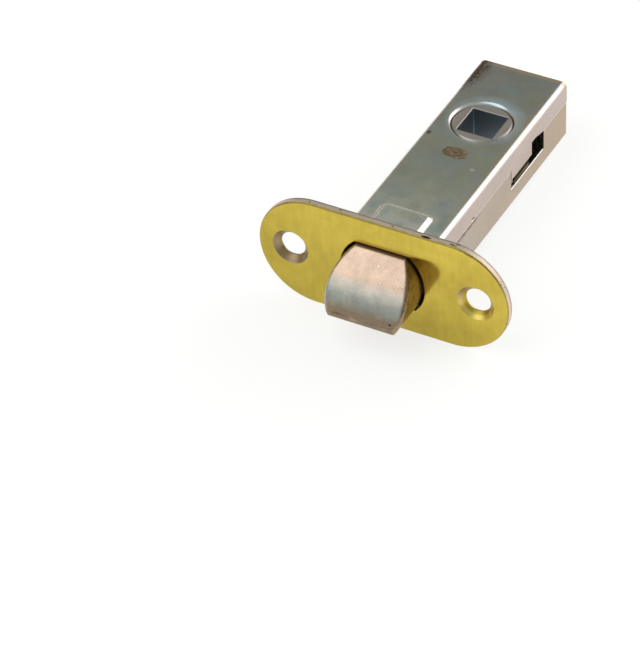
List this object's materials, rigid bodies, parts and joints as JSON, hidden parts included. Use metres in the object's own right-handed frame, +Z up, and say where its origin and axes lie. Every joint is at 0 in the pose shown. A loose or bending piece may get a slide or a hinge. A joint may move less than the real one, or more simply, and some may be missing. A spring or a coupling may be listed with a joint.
{
  "type": "tubular door latch",
  "caption": "Tubular door latch: folded steel case, round-ended screw-on forend, bevelled sprung bolt and a follower with a square spindle hole that draws the bolt in",
  "frame": {"origin": "middle of the forend's front face, midway between the two screw holes", "axes": "+X along the forend, +Y back along the case away from the bolt's nose, +Z up along the spindle's axis, the bolt's bevel facing +Z"},
  "size_m": [0.0562, 0.0758, 0.0252],
  "materials": {
    "forend_plate": "steel with a satin brass plating, bare on the blanked edge",
    "case_plate": "bright zinc-plated steel sheet",
    "bolt_metal": "satin plated steel",
    "inner_steel": "oiled plain steel",
    "spring_wire": "drawn spring wire",
    "bridge_steel": "plain steel, browned at the stake",
    "follower_metal": "satin sintered steel"
  },
  "bodies": {
    "case": {"forend": "forend_plate", "case_upper_shell": "case_plate", "case_lower_shell": "case_plate", "spring_bridge": "bridge_steel", "bolt_spring": "spring_wire"},
    "bolt": {"latch_bolt": "bolt_metal", "guide_pin": "inner_steel"},
    "retractor_plate": {"retractor": "inner_steel"},
    "follower_hub": {"follower": "follower_metal"}
  },
  "joints": [
    {"name": "bolt_slide", "type": "slide", "parent": "case", "child": "bolt", "axis": [0, 1, 0], "range_m": [0, 0.01], "stiffness_N_per_m": 1360, "springref_m": -0.003, "deforming": ["bolt_spring"]},
    {"name": "retractor_slide", "type": "slide", "parent": "case", "child": "retractor_plate", "axis": [0, 1, 0], "range_m": [0, 0.01]},
    {"name": "follower_turn", "type": "hinge", "parent": "case", "child": "follower_hub", "pos_m": [0, 0.0458, 0], "axis": [0, 0, 1], "range_deg": [0, 65]}
  ],
  "couplings": [
    {"joint": "retractor_slide", "follows": "bolt_slide", "ratio": 1},
    {"joint": "follower_turn", "follows": "bolt_slide", "rad_per_m": 113.44}
  ]
}
